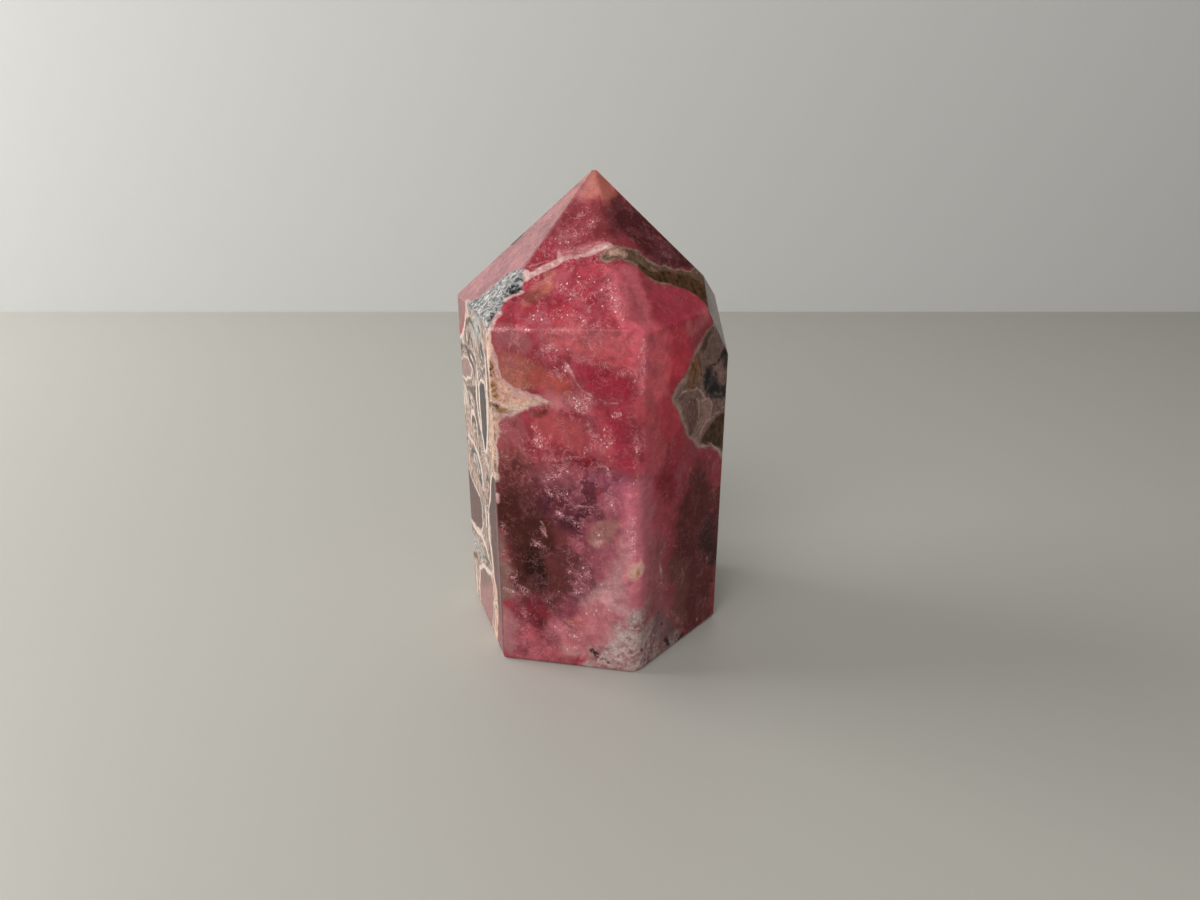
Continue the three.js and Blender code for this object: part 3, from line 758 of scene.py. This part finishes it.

# Painted glints: where cleavage planes would catch the light, drawn as bright flecks in the base colour:
# how strongly, how far they fade out, and where.
glint_strength = np.zeros(len(skin))
PAINTED_GLINTS = (
    # upper front
    (0.9, 0.6, "front", (-10.8, 59, 0.3), (-9.4, 59.2, 0.3), (-8.6, 59.5, 0.1)),
    (1.0, 0.5, "front", (-6, 59.5, 0.3), (-5.2, 59.4, 0.1)),
    (0.6, 0.5, "front", (-4, 59.3, 0.1), (1, 59.5, 0.2), (3, 59.4, 0.1)),
    (1.0, 0.6, "front", (-2.8, 56.7, 0.2), (-1.6, 57, 0.3)),
    (0.5, 0.9, "front", (0.8, 56.6, 0.3), (2, 57.2, 0.3)),
    (0.7, 0.8, "front", (8.8, 53.8, 0.3), (10.6, 54, 0.4), (11.2, 52.8, 0.2)),
    (0.9, 0.6, "front", (0.2, 54, 0.3), (0.6, 53.4, 0.2)),
    (0.6, 0.9, "front", (-1.6, 53, 0.4), (-0.6, 52.8, 0.2)),
    (1.0, 0.8, "front", (1.6, 48.6, 0.5), (2.6, 47.8, 0.9), (3.5, 49, 0.3)),
    (1.0, 0.5, "front", (7.6, 46.8, 0.2), (8.4, 47, 0.2)),
    (1.0, 0.7, "front", (-4.8, 44, 0.2), (-4.2, 42.4, 0.4), (-3.9, 41.1, 0.5)),
    (0.9, 0.5, "front", (-2.5, 42.6, 0.2), (-2.8, 41.6, 0.2)),
    (0.7, 0.9, "front", (3.4, 45, 0.3), (4.4, 43, 0.5), (4.6, 41, 0.3), (3.4, 40.8, 0.2)),
    (0.6, 0.9, "front", (6.6, 44.6, 0.2), (7, 42.6, 0.5), (5.8, 41, 0.3)),
    (1.0, 0.8, "front", (11.2, 43.4, 0.2), (11.4, 41.3, 0.4), (11.8, 40.9, 0.2)),
    (0.6, 0.7, "front", (11.4, 39, 0.2), (11.2, 36, 0.3)),
    (0.9, 0.5, "front", (6.4, 38.2, 0.2), (6.8, 37, 0.3), (6.6, 36.2, 0.2)),
    (0.6, 0.9, "front", (-9.6, 44, 0.2), (-9.8, 42.4, 0.2)),
    (0.6, 0.8, "front", (-10, 38.8, 0.3), (-9.4, 38, 0.1)),
    # smoky middle
    (0.8, 0.8, "front", (-3.6, 35, 0.3), (-1.6, 36, 0.3), (-0.4, 37.4, 0.2)),
    (0.6, 0.6, "front", (-0.6, 38.4, 0.2), (0.6, 39.4, 0.2), (2.8, 39.8, 0.2)),
    (0.8, 0.7, "front", (-3.2, 33.8, 0.3), (-2.8, 32.6, 0.3)),
    (0.7, 0.8, "front", (-1.8, 34, 0.2), (-1.4, 32.4, 0.3), (-0.2, 33.4, 0.2)),
    (1.0, 0.5, "front", (-1.6, 29.6, 0.2), (-1, 29, 0.3)),
    (0.6, 0.8, "front", (0.6, 28.8, 0.3), (1.2, 27.8, 0.2)),
    (0.6, 0.8, "front", (6.8, 33, 0.3), (8, 30.4, 0.1)),
    (0.6, 1.0, "front", (-11, 26.4, 0.4), (-10.4, 24.8, 0.2)),
    (0.6, 1.0, "front", (-10.6, 21.6, 0.4), (-10, 20, 0.3)),
    (1.0, 0.5, "front", (-4.4, 26.6, 0.1), (-3.8, 25.8, 0.2), (-3.6, 25.2, 0.1)),
    (1.0, 0.6, "front", (-5.4, 23.4, 0.3), (-4.6, 23.6, 0.2)),
    (0.7, 0.6, "front", (-4.6, 22.4, 0.2), (-3.8, 23, 0.2)),
    (1.0, 0.7, "front", (11, 29.4, 0.2), (10.4, 27.4, 0.3), (10.7, 25.6, 0.5), (10.8, 23.4, 0.3)),
    (0.9, 0.6, "front", (4.8, 24.4, 0.3), (5.6, 24.8, 0.2)),
    (0.6, 0.8, "front", (5.4, 26.6, 0.2), (6, 26, 0.2)),
    (1.0, 0.7, "front", (3, 19.6, 0.2), (3.5, 18.3, 0.3), (3.1, 17.8, 0.1)),
    (0.7, 0.8, "front", (0.2, 18.8, 0.3), (1.8, 18.4, 0.3)),
    (1.0, 0.7, "front", (-9.8, 17.4, 0.3), (-9, 16.6, 0.3)),
    (1.0, 0.7, "front", (-8.6, 14.9, 0.2), (-7.4, 14.4, 0.3)),
    (0.8, 0.6, "front", (-11, 14.3, 0.2), (-10, 14, 0.1)),
    (0.6, 1.0, "front", (-9, 13.4, 0.2), (-6.8, 13.6, 0.2)),
    (0.5, 1.2, "front", (0.6, 17, 0.3), (3.4, 16.4, 0.3), (1.4, 15, 0.4)),
    (0.5, 1.2, "front", (6.2, 15.8, 0.3), (7.8, 13.4, 0.3), (5.4, 11.6, 0.5), (3.6, 12, 0.3)),
    (0.5, 1.0, "front", (-3.6, 13.4, 0.3), (-1.4, 14.4, 0.2)),
    # foot
    (0.7, 0.8, "front", (0, 3.4, 0.4), (1.4, 3.8, 0.2)),
    (0.6, 0.8, "front", (-3.6, 3.4, 0.3)),
    (0.5, 1.4, "front", (-1, 7.4, 0.6), (1.6, 6, 0.5)),
    # tip and right
    (0.5, 1.6, "front_tip", (6, 7, 1.2), (8, 3, 1)),
    (0.5, 1.4, "front_tip", (-2, 7.6, 0.6), (1, 6, 0.6), (3, 9, 0.6)),
    (0.5, 1.4, "front_tip", (-5, 2, 0.6), (-1, 3, 0.6), (3, 1.6, 0.6)),
    (0.45, 1.2, "front_tip", (-2.4, 15.6, 0.4), (0.6, 17, 0.5), (2.6, 19, 0.4)),
    (0.6, 0.8, "right", (-11.2, 44.4, 0.2), (-10.4, 41.2, 0.4)),
    (0.9, 0.8, "right", (-11.4, 58.6, 0.3), (-11, 54, 0.4), (-11.6, 50.4, 0.3)),
    (0.7, 0.7, "right", (-6.8, 56.4, 0.2), (-7.2, 54.8, 0.2)),
    (0.7, 0.6, "right", (-5.6, 18.4, 0.2), (-5, 16, 0.3)),
    (0.5, 1.0, "right", (-2, 7.4, 0.3), (1.6, 3.4, 0.3)),
)
for strength, fade, face, *stops in PAINTED_GLINTS:
    glint_strength = np.maximum(glint_strength, strength * np.clip((fade - vein(face, *stops)) / (2 * fade), 0, 1))

# Veils and healed cracks show on the front, and hardly on the clear right side; only the left rock is
# strongly marbled.
frost = np.ones(len(skin))
return_depth = 4
for face, least in (("right", 0.45), ("right_tip", 0.45), ("left_tip", 0.7), ("left", 0.2)):
    frost = np.minimum(frost, least + below(face, 0, 1 / return_depth))
for least, clear in (
    (0.35, vein("front", (-9.5, 32, 3), (-5.6, 25, 4), (-4.6, 16, 3.4))),
    (0.4, vein("front", (3.4, 52.6, 1), (8.4, 50.6, 1.6), (9.2, 44, 0.8), (9.2, 38, 0.6))),
    (0.5, vein("front", (-3, 44.6, 1.6), (1.4, 43, 1.6))),
):
    frost = np.minimum(frost, np.clip(least + clear / return_depth, least, 1))
least_marbled, notch_marbled, hidden_marbled = 0.3, 0.45, 0.6
marbled_depth = 6
marbled = np.clip(1 - left_rock, least_marbled, 1)
marbled = np.maximum(marbled, np.clip(notch_marbled - notch, 0, notch_marbled))
marbled *= np.clip(1 - below("left", 0, 1 / marbled_depth), hidden_marbled, 1)
round_side = np.clip(below("front", 0, 1 / return_depth), 0, 1)


def keep_three(name, *values):
    """Stores three fields on the skin."""
    store = stone.data.attributes.new(name, "FLOAT_VECTOR", "POINT")
    store.data.foreach_set("vector", np.stack(values, axis=1).astype(np.float32).ravel())


def keep_colour(name, colours):
    store = stone.data.attributes.new(name, "FLOAT_COLOR", "POINT")
    solid = np.concatenate([colours, np.ones((len(skin), 1))], axis=1)
    store.data.foreach_set("color", solid.astype(np.float32).ravel())


keep_colour("crystal_colour", crystal)
keep_colour("rock_colour", rock)
keep_three("grounds", together(left_rock, notch, right_patch, band), speckled, corner_grey)
keep_three("seams", pale, umber, black)
# The third of these fields is where glints are painted.
keep_three("spots_and_glints", eyes, wisps_and_glints, glint_strength)
keep_three("habits", frost, marbled, round_side)

# The polish: one hard glossy surface over crystal and rock alike, with its fine grain drawn by noise.
# Sizes in it are millimetres, and gaps are distances outside a marking's edge.
rhodochrosite = bpy.data.materials.new("rhodochrosite")
rhodochrosite.use_nodes = True
tree = rhodochrosite.node_tree
polish = tree.nodes["Principled BSDF"]


def add_node(kind, settings=(), **inputs):
    """A new node with its settings, its sockets filled by name, or by place as i0, i1 and so on."""
    made = tree.nodes.new(kind)
    for name, value in dict(settings).items():
        setattr(made, name, value)
    for name, value in inputs.items():
        by_place = name[0] == "i" and name[1:].isdigit()
        socket = made.inputs[int(name[1:]) if by_place else name.replace("_", " ")]
        if isinstance(value, bpy.types.NodeSocket):
            tree.links.new(value, socket)
        else:
            socket.default_value = value
    return made


def work(operation, first, second=0.0, third=0.0):
    return add_node("ShaderNodeMath", {"operation": operation}, i0=first, i1=second, i2=third).outputs[0]


def times(*values):
    product = values[0]
    for value in values[1:]:
        product = work("MULTIPLY", product, value)
    return product


def spread(value, low, high, to_low=0.0, to_high=1.0, curve="SMOOTHSTEP"):
    """Maps a value from one span to another, held at the ends."""
    made = add_node(
        "ShaderNodeMapRange",
        {"interpolation_type": curve, "clamp": True},
        Value=value, From_Min=low, From_Max=high, To_Min=to_low, To_Max=to_high,
    )
    return made.outputs["Result"]


def grade(value, low, high, to_low, to_high):
    """As spread, but in a straight line."""
    return spread(value, low, high, to_low, to_high, "LINEAR")


def blend(share, under, over):
    return add_node("ShaderNodeMix", {"data_type": "RGBA"}, i0=share, i6=under, i7=over).outputs[2]


def shade(colours, tone):
    return add_node("ShaderNodeVectorMath", {"operation": "SCALE"}, i0=colours, Scale=tone).outputs[0]


def colour(red, green, blue):
    return (*linear(red, green, blue), 1)


def field(name):
    return add_node("ShaderNodeAttribute", {"attribute_name": name}).outputs


def three_fields(name):
    return add_node("ShaderNodeSeparateXYZ", i0=field(name)["Vector"]).outputs


coordinates = add_node("ShaderNodeTexCoord").outputs["Object"]
position = add_node("ShaderNodeVectorMath", {"operation": "SCALE"}, i0=coordinates, Scale=1 / MM).outputs[0]


def three_parts(colours):
    return add_node("ShaderNodeSeparateColor", i0=colours).outputs


def cloud(size, detail, rough, twist=0.0, place=position):
    """Three smooth noises with lumps of a size."""
    made = add_node(
        "ShaderNodeTexNoise",
        Vector=place, Scale=1 / size, Detail=detail, Roughness=rough, Distortion=twist,
    )
    return three_parts(made.outputs["Color"])


def stretch(*sizes):
    return add_node("ShaderNodeVectorMath", {"operation": "MULTIPLY"}, i0=position, i1=sizes).outputs[0]


def crumple(size, detail, reach, place=position):
    """A place shifted by noise with lumps of a size, so that a pattern drawn on it is bent."""
    bends = add_node("ShaderNodeTexNoise", Vector=position, Scale=1 / size, Detail=detail).outputs["Color"]
    settings = {"operation": "MULTIPLY_ADD"}
    return add_node("ShaderNodeVectorMath", settings, i0=bends, i1=(reach,) * 3, i2=place).outputs[0]


def line(value, middle, width):
    """1 where a value is at the middle, and 0 a width away from it."""
    return spread(work("ABSOLUTE", work("SUBTRACT", value, middle)), width, 0.0)


rock_gap, speckled_gap, corner_gap = three_fields("grounds")
pale_gap, umber_gap, black_gap = three_fields("seams")
eye_gap, wisp_and_glint_gap, glint_share = three_fields("spots_and_glints")
frost_share, marble_share, side_share = three_fields("habits")

lumps = cloud(3.0, 4, 0.55, 0.4)
ragged = cloud(0.9, 4, 0.6, 0.3)
grain = cloud(0.3, 3, 0.6)
noise_middle = 0.5


def waver(gap, amount):
    """A distance roughened by fine noise, so that an edge drawn from it is ragged."""
    return work("ADD", gap, work("MULTIPLY_ADD", ragged[0], 2 * amount, -amount))


def cover(gap, soft=0.12):
    """1 inside a marking, 0 outside, over a soft edge."""
    return spread(gap, soft, -soft)


# Crystal: clouds, angular cells, milky veils, sugary grains, the pale threads of healed cracks, and painted
# glints in curled strokes.
swirl = crumple(size=1.4, detail=3.0, reach=1.8)


def cells(size, soft):
    settings = {"feature": "SMOOTH_F1"}
    made = add_node("ShaderNodeTexVoronoi", settings, Vector=swirl, Scale=1 / size, Smoothness=soft)
    return three_parts(made.outputs["Color"])


large_cells = cells(2.6, 0.35)
small_cells = cells(1.0, 0.3)
crystal_tones = (
    # a noise, the span of it that counts, and how dark and how light it makes the crystal
    (lumps[0], 0.32, 0.68, 0.84, 1.18),
    (grain[0], 0.3, 0.7, 0.88, 1.12),
    (ragged[0], 0.28, 0.72, 0.84, 1.18),
    (large_cells[0], 0, 1, 0.82, 1.2),
    (small_cells[0], 0, 1, 0.86, 1.15),
)
tone = times(*[grade(*row) for row in crystal_tones])
calm = spread(frost_share, 0.2, 1, to_low=0.5)
tone = work("MULTIPLY_ADD", work("SUBTRACT", tone, 1), calm, 1)
surface = shade(field("crystal_colour")["Color"], tone)

veil = times(spread(large_cells[1], 0.35, 1.0), spread(lumps[1], 0.4, 0.6, to_low=0.15, to_high=0.5))
veil = times(veil, spread(ragged[1], 0.3, 0.65, to_low=0.35))
surface = blend(times(veil, frost_share), surface, colour(188, 110, 122))
sugar = times(spread(grain[1], 0.5, 0.72), spread(small_cells[1], 0.45, 0.95, to_high=0.42))
surface = blend(times(sugar, frost_share), surface, colour(214, 142, 150))

crack_width = 0.035
threads = cloud(1.6, 3, 0.6, 0.4, swirl)
thread = times(line(threads[0], noise_middle, crack_width), spread(lumps[2], 0.44, 0.62, to_high=0.5))
surface = blend(times(thread, frost_share), surface, colour(216, 150, 156))
# Pale wisps, and small painted glints drawn the same way.
wisp_and_glint = times(cover(waver(wisp_and_glint_gap, 0.1), soft=0.16), spread(ragged[2], 0.3, 0.6, to_low=0.2, to_high=0.75))
surface = blend(wisp_and_glint, surface, colour(216, 166, 164))
# Painted glints: pale curled strokes in the base colour where the glints cluster.
glint_curls = cloud(0.75, 2, 0.5, 0.6, swirl)
glint_curl = work("MAXIMUM", line(glint_curls[0], noise_middle, crack_width), line(glint_curls[1], noise_middle, crack_width))
glint_curl = times(glint_curl, spread(glint_share, 0.08, 0.6, to_high=0.8))
surface = blend(glint_curl, surface, colour(240, 166, 172))

# Rock: folded bands and mottles, with thin rings round the eyes.
fold_size = 5.5
folds_per_noise = 11.0
fold_ruffle = 0.5
folds = cloud(fold_size, 2.5, 0.45, 1.2, stretch(1, 1, 0.75))
fold = work("MULTIPLY_ADD", folds[0], folds_per_noise, times(ragged[1], fold_ruffle))
fold = work("PINGPONG", fold, 0.5)
outside_eyes = times(marble_share, spread(eye_gap, 0.1, 0.8))
mottle = times(grade(ragged[2], 0.3, 0.7, 0.62, 1.3), grade(grain[1], 0.3, 0.7, 0.8, 1.2))
rock_surface = shade(field("rock_colour")["Color"], mottle)
fold_line = times(spread(fold, 0.17, 0.05), spread(lumps[2], 0.42, 0.62, to_low=0.1, to_high=0.85))
rock_surface = blend(times(fold_line, outside_eyes), rock_surface, colour(60, 50, 44))
fold_crest = times(spread(fold, 0.3, 0.44), spread(lumps[1], 0.35, 0.6, to_low=0.2, to_high=0.8))
rock_surface = blend(times(fold_crest, outside_eyes), rock_surface, colour(222, 194, 178))
blot = times(spread(ragged[0], 0.62, 0.7), spread(lumps[0], 0.5, 0.62, to_low=0.15, to_high=0.8))
rock_surface = blend(times(blot, outside_eyes), rock_surface, colour(30, 25, 24))

ringed = waver(eye_gap, 0.4)
dark_ring = times(line(ringed, middle=1.15, width=0.16), 0.8)
rock_surface = blend(dark_ring, rock_surface, colour(40, 32, 28))
cream_ring = line(ringed, middle=0.4, width=0.36)
cream_ring = times(cream_ring, spread(lumps[1], 0.38, 0.55, to_low=0.45, to_high=0.9))
rock_surface = blend(cream_ring, rock_surface, colour(236, 212, 200))

ragged_rock = waver(rock_gap, 0.6)
rock_edge = spread(marble_share, 0.3, 1, to_low=0.4, to_high=0.1)
surface = blend(cover(work("DIVIDE", ragged_rock, rock_edge), soft=1), surface, rock_surface)
rim = times(line(ragged_rock, middle=-0.18, width=0.3), spread(marble_share, 0.3, 1, to_low=0.45))
rim = times(rim, spread(ragged[1], 0.35, 0.6, to_low=0.15, to_high=0.75))
surface = blend(rim, surface, colour(206, 176, 164))

# Speckled grey on the left tip face.
speckle = add_node("ShaderNodeValToRGB", i0=cloud(0.75, 5, 0.7, 0.8, stretch(0.7, 0.7, 1.3))[0])
speckle_stops = (
    (0.34, (30, 29, 30)),
    (0.43, (84, 84, 86)),
    (0.5, (132, 133, 134)),
    (0.58, (176, 173, 170)),
    (0.7, (204, 194, 186)),
)
ramp = speckle.color_ramp
while len(ramp.elements) < len(speckle_stops):
    ramp.elements.new(0.5)
for element, (place, tint) in zip(ramp.elements, speckle_stops):
    element.position = place
    element.color = colour(*tint)
surface = blend(cover(waver(speckled_gap, 0.3)), surface, speckle.outputs["Color"])

# Grey corner at the foot.
corner_tone = blend(spread(lumps[2], 0.4, 0.6), colour(150, 104, 106), colour(178, 156, 152))
corner_tone = blend(spread(ragged[0], 0.4, 0.66), corner_tone, colour(206, 186, 182))
corner_tone = blend(spread(ragged[1], 0.44, 0.3, to_high=0.6), corner_tone, colour(84, 70, 72))
corner_tone = blend(spread(grain[1], 0.4, 0.3, to_high=0.75), corner_tone, colour(56, 48, 50))
corner_tone = shade(corner_tone, spread(side_share, 0, 1, to_low=1, to_high=0.8))
corner_edge = work("ADD", waver(corner_gap, 1.2), grade(lumps[1], 0.3, 0.7, -1.6, 1.6))
surface = blend(times(spread(corner_edge, 1.4, -2.0), 0.85), surface, corner_tone)

# Umber, pale seams and black spots.
umber_tone = blend(spread(ragged[2], 0.3, 0.7), colour(42, 23, 10), colour(100, 64, 36))
surface = blend(cover(waver(umber_gap, 0.25), soft=0.3), surface, umber_tone)
pale_tone = blend(spread(ragged[0], 0.35, 0.65), colour(192, 140, 140), colour(226, 194, 188))
pale_tone = blend(spread(marble_share, 0.3, 1), pale_tone, colour(228, 206, 194))
pale_seam = times(cover(waver(pale_gap, 0.3), soft=0.18), spread(grain[2], 0.35, 0.6, to_low=0.75))
surface = blend(pale_seam, surface, pale_tone)
black_spot = cover(waver(black_gap, 0.5), soft=0.2)
black_spot = times(black_spot, spread(grain[0], 0.3, 0.55, to_low=0.5, to_high=0.95))
surface = blend(black_spot, surface, colour(14, 12, 14))

# Painted glints: bright flecks drawn into the base colour, as if cleavage planes just under the polish
# caught the light.
glint_size = 0.42
crumpled = crumple(size=0.25, detail=1.0, reach=0.5, place=stretch(1, 1, 0.7))
glint_cells = add_node("ShaderNodeTexVoronoi", {"feature": "F1"}, Vector=crumpled, Scale=1 / glint_size)
glint_pick = three_parts(glint_cells.outputs["Color"])
glint_flecks = spread(work("MULTIPLY_ADD", glint_share, 0.7, glint_pick[0]), 0.985, 1.03)
glint_flecks = times(glint_flecks, spread(glint_cells.outputs["Distance"], 0.45, 0.2), grade(glint_pick[1], 0, 1, 0.35, 1))
surface = blend(times(glint_flecks, frost_share), surface, colour(255, 220, 218))

bump_strength = 0.25
bump_height = 0.06
refraction = 1.43
skin_shine = 0.2
smoothest, roughest = 0.12, 0.22
waves = work("ADD", grain[0], times(ragged[0], 2.0))
bump = add_node("ShaderNodeBump", Strength=bump_strength, Distance=bump_height * MM, Height=waves)
tree.links.new(surface, polish.inputs["Base Color"])
tree.links.new(grade(ragged[0], 0.3, 0.7, smoothest, roughest), polish.inputs["Roughness"])
tree.links.new(bump.outputs["Normal"], polish.inputs["Normal"])
polish.inputs["IOR"].default_value = refraction
polish.inputs["Specular IOR Level"].default_value = skin_shine

stone.data.materials.clear()
stone.data.materials.append(rhodochrosite)
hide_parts("stone")
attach(stone, "root")

# Stage: a plain pale floor and a plain pale wall behind, which aren't part of the object, with a tall
# window to the left of them and a dim room around.
eye_place = Vector((29.2, -146.64, 95.76)) * MM
eye_turn = math.radians(10.667)
eye_dip = math.radians(66.926)
upright = math.radians(90)
wall_reach = 372 * MM
wall_place = (
    eye_place.x - wall_reach * math.sin(eye_turn),
    eye_place.y + wall_reach * math.cos(eye_turn),
    0,
)
stage_size = 3

bpy.ops.object.select_all(action="DESELECT")
bpy.ops.mesh.primitive_plane_add(size=stage_size, location=(0, 0, 0))
floor = bpy.context.object
floor.name = "floor"
bpy.ops.mesh.primitive_plane_add(size=stage_size, location=wall_place, rotation=(upright, 0, eye_turn))
wall = bpy.context.object
wall.name = "wall"
for ground, tint, roughness in ((floor, (178, 176, 169), 0.45), (wall, (208, 208, 206), 0.9)):
    paint = bpy.data.materials.new(ground.name)
    paint.use_nodes = True
    coat = paint.node_tree.nodes["Principled BSDF"]
    coat.inputs["Base Color"].default_value = colour(*tint)
    coat.inputs["Roughness"].default_value = roughness
    ground.data.materials.append(paint)


def soft_light(name, facing, rise, reach, width, height, power, tint):
    """A large soft light at a heading from the stone, aimed at its middle."""
    aim = Vector((0, 0, stone_high.z / 2))
    place = aim + heading(facing, rise) * reach
    bpy.ops.object.light_add(type="AREA", location=place)
    lamp = bpy.context.object
    lamp.name = name
    lamp.rotation_euler = (place - aim).to_track_quat("Z", "Y").to_euler()
    lamp.data.shape = "RECTANGLE"
    lamp.data.size = width
    lamp.data.size_y = height
    lamp.data.energy = power
    lamp.data.color = tint
    lamp.visible_camera = False


daylight = (1.0, 0.995, 0.985)
wall_light = (1.0, 0.98, 0.95)
soft_light("window", facing=170, rise=22, reach=0.55, width=0.5, height=0.4, power=4.4, tint=daylight)
soft_light("room_fill", facing=-100, rise=38, reach=0.7, width=0.6, height=0.6, power=4.0, tint=wall_light)

bpy.ops.object.camera_add(location=eye_place, rotation=(eye_dip, 0, eye_turn))
camera = bpy.context.object
camera.data.sensor_width = 36
camera.data.lens = 27.29
camera.data.clip_start = 0.01
bpy.context.scene.camera = camera

room = bpy.data.worlds.new("room")
room.use_nodes = True
glow = room.node_tree.nodes["Background"]
glow.inputs["Color"].default_value = (0.95, 0.98, 1.0, 1)
glow.inputs["Strength"].default_value = 0.09
bpy.context.scene.world = room
bpy.context.scene.view_settings.view_transform = "Standard"
